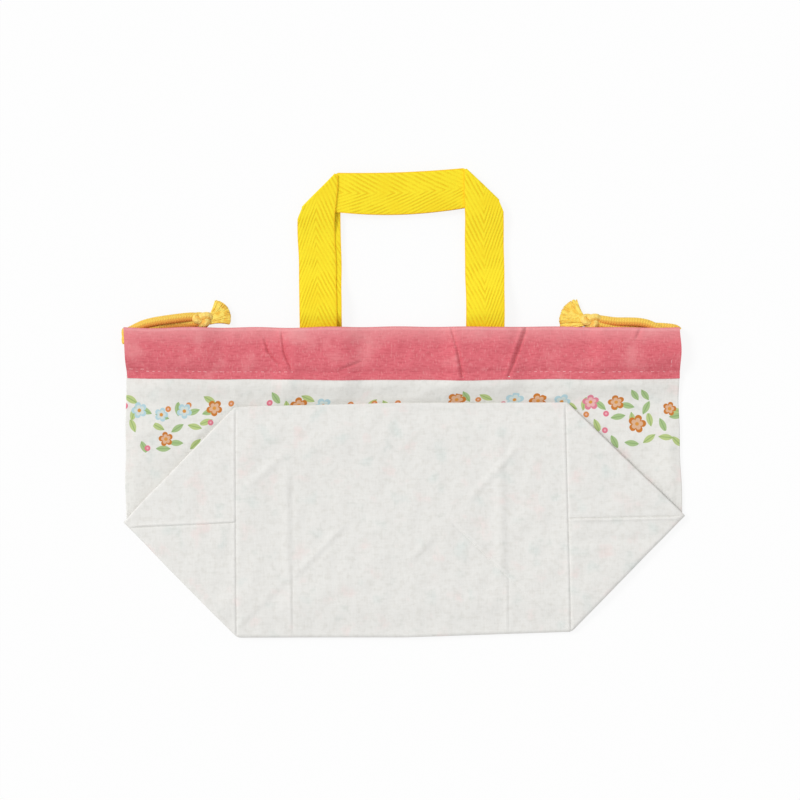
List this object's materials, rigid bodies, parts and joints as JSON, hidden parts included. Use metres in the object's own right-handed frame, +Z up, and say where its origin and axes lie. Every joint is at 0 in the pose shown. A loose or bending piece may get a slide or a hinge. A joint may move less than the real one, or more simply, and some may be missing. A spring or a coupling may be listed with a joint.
{
  "type": "drawstring lunch bag",
  "caption": "Flat-folded cotton lunch bag with a boxed bottom, a pink drawstring casing, knotted cords and webbing handles.",
  "frame": {"origin": "centre of the underside of the folded bag, on the surface that it lies on", "axes": "+X across the bag, +Y from the bottom fold towards the handles, +Z up, out of the front"},
  "size_m": [0.2858, 0.2334, 0.0082],
  "materials": {
    "printed_cotton": "matte printed cotton cloth",
    "cotton_lining": "matte plain cotton cloth",
    "pink_cotton": "matte slubby cotton cloth",
    "webbing": "matte herringbone cotton webbing",
    "cord": "soft knitted cotton cord",
    "tuft": "frayed cotton yarn"
  },
  "bodies": {
    "back": {"back_panel": "printed_cotton", "back_casing": "pink_cotton", "back_cord_upper": "cord", "back_cord_lower": "cord", "back_strap_tab_left": "webbing", "back_strap_tab_right": "webbing"},
    "base": {"base_panel": "printed_cotton", "corner_flap_left": "cotton_lining", "corner_flap_right": "cotton_lining"},
    "front_lower": {"front_lower_panel": "printed_cotton"},
    "front": {"front_panel": "printed_cotton", "front_casing": "pink_cotton", "front_cord_upper": "cord", "front_cord_lower": "cord", "front_strap_tab_left": "webbing", "front_strap_tab_right": "webbing"},
    "back_handle": {"back_handle": "webbing"},
    "front_handle": {"front_handle": "webbing"},
    "back_side_left": {"back_side_panel_left": "printed_cotton", "back_side_casing_left": "pink_cotton", "back_side_cord_upper_left": "cord", "back_side_cord_lower_left": "cord", "cord_bend_upper_left": "cord", "cord_bend_lower_left": "cord", "cord_crossing_left": "cord"},
    "front_side_left": {"front_side_panel_left": "printed_cotton", "front_side_casing_left": "pink_cotton", "front_side_cord_upper_left": "cord", "front_side_cord_lower_left": "cord"},
    "front_lower_side_left": {"front_lower_side_left": "printed_cotton"},
    "base_side_left": {"base_side_left": "printed_cotton"},
    "cord_tail_left": {"cord_tail_upper_left": "cord", "cord_tail_lower_left": "cord", "cord_knot_left": "cord", "cord_tuft_left": "tuft"},
    "back_side_right": {"back_side_panel_right": "printed_cotton", "back_side_casing_right": "pink_cotton", "back_side_cord_upper_right": "cord", "back_side_cord_lower_right": "cord", "cord_bend_upper_right": "cord", "cord_bend_lower_right": "cord", "cord_crossing_right": "cord"},
    "front_side_right": {"front_side_panel_right": "printed_cotton", "front_side_casing_right": "pink_cotton", "front_side_cord_upper_right": "cord", "front_side_cord_lower_right": "cord"},
    "front_lower_side_right": {"front_lower_side_right": "printed_cotton"},
    "base_side_right": {"base_side_right": "printed_cotton"},
    "cord_tail_right": {"cord_tail_upper_right": "cord", "cord_tail_lower_right": "cord", "cord_knot_right": "cord", "cord_tuft_right": "tuft"}
  },
  "joints": [
    {"name": "open_bag", "type": "hinge", "parent": "back", "child": "base", "pos_m": [0, -0.11685, 0.0012], "axis": [1, 0, 0], "range_deg": [0, 90]},
    {"name": "lower_front_fold", "type": "hinge", "parent": "base", "child": "front_lower", "pos_m": [0, -0.00185, 0.00215], "axis": [1, 0, 0], "range_deg": [0, 90]},
    {"name": "front_fold", "type": "hinge", "parent": "front_lower", "child": "front", "pos_m": [0, -0.05935, 0.00155], "axis": [-1, 0, 0], "range_deg": [0, 180]},
    {"name": "front_handle_swing", "type": "hinge", "parent": "front", "child": "front_handle", "pos_m": [-0.0025, 0.04615, 0.0055], "axis": [1, 0, 0], "range_deg": [0, 150]},
    {"name": "back_handle_swing", "type": "hinge", "parent": "back", "child": "back_handle", "pos_m": [-0.0025, 0.04615, 0.0027], "axis": [1, 0, 0], "range_deg": [-150, 0]},
    {"name": "back_side_fold_left", "type": "hinge", "parent": "back", "child": "back_side_left", "pos_m": [-0.0825, -0.05935, 0.0005], "axis": [0, 1, 0], "range_deg": [0, 90], "deforming": ["back_side_panel_left", "back_side_casing_left", "back_side_cord_upper_left", "back_side_cord_lower_left", "cord_bend_upper_left", "cord_bend_lower_left", "cord_crossing_left"]},
    {"name": "front_side_fold_left", "type": "hinge", "parent": "front", "child": "front_side_left", "pos_m": [-0.0825, -0.05935, 0.0008], "axis": [0, -1, 0], "range_deg": [0, 90], "deforming": ["front_side_panel_left", "front_side_casing_left", "front_side_cord_upper_left", "front_side_cord_lower_left"]},
    {"name": "front_lower_side_fold_left", "type": "hinge", "parent": "front_lower", "child": "front_lower_side_left", "pos_m": [-0.0825, -0.05935, 0.0021], "axis": [0, 1, 0], "range_deg": [0, 90], "deforming": ["front_lower_side_left"]},
    {"name": "base_side_fold_left", "type": "hinge", "parent": "base", "child": "base_side_left", "pos_m": [-0.0825, -0.05935, 0.0032], "axis": [0, -1, 0], "range_deg": [0, 90], "deforming": ["base_side_left"]},
    {"name": "tail_swing_left", "type": "hinge", "parent": "back_side_left", "child": "cord_tail_left", "pos_m": [-0.1385, 0.03215, 0.0041], "axis": [0, 0, 1], "range_deg": [0, 150]},
    {"name": "back_side_fold_right", "type": "hinge", "parent": "back", "child": "back_side_right", "pos_m": [0.0825, -0.05935, 0.0005], "axis": [0, -1, 0], "range_deg": [0, 90], "deforming": ["back_side_panel_right", "back_side_casing_right", "back_side_cord_upper_right", "back_side_cord_lower_right", "cord_bend_upper_right", "cord_bend_lower_right", "cord_crossing_right"]},
    {"name": "front_side_fold_right", "type": "hinge", "parent": "front", "child": "front_side_right", "pos_m": [0.0825, -0.05935, 0.0008], "axis": [0, 1, 0], "range_deg": [0, 90], "deforming": ["front_side_panel_right", "front_side_casing_right", "front_side_cord_upper_right", "front_side_cord_lower_right"]},
    {"name": "front_lower_side_fold_right", "type": "hinge", "parent": "front_lower", "child": "front_lower_side_right", "pos_m": [0.0825, -0.05935, 0.0021], "axis": [0, -1, 0], "range_deg": [0, 90], "deforming": ["front_lower_side_right"]},
    {"name": "base_side_fold_right", "type": "hinge", "parent": "base", "child": "base_side_right", "pos_m": [0.0825, -0.05935, 0.0032], "axis": [0, 1, 0], "range_deg": [0, 90], "deforming": ["base_side_right"]},
    {"name": "tail_swing_right", "type": "hinge", "parent": "back_side_right", "child": "cord_tail_right", "pos_m": [0.1385, 0.03215, 0.0041], "axis": [0, 0, -1], "range_deg": [0, 150]}
  ],
  "couplings": [
    {"joint": "lower_front_fold", "follows": "open_bag", "ratio": 1},
    {"joint": "front_fold", "follows": "open_bag", "ratio": 2},
    {"joint": "back_side_fold_left", "follows": "open_bag", "ratio": 1},
    {"joint": "front_side_fold_left", "follows": "open_bag", "ratio": 1},
    {"joint": "front_lower_side_fold_left", "follows": "open_bag", "ratio": 1},
    {"joint": "base_side_fold_left", "follows": "open_bag", "ratio": 1},
    {"joint": "back_side_fold_right", "follows": "open_bag", "ratio": 1},
    {"joint": "front_side_fold_right", "follows": "open_bag", "ratio": 1},
    {"joint": "front_lower_side_fold_right", "follows": "open_bag", "ratio": 1},
    {"joint": "base_side_fold_right", "follows": "open_bag", "ratio": 1}
  ]
}
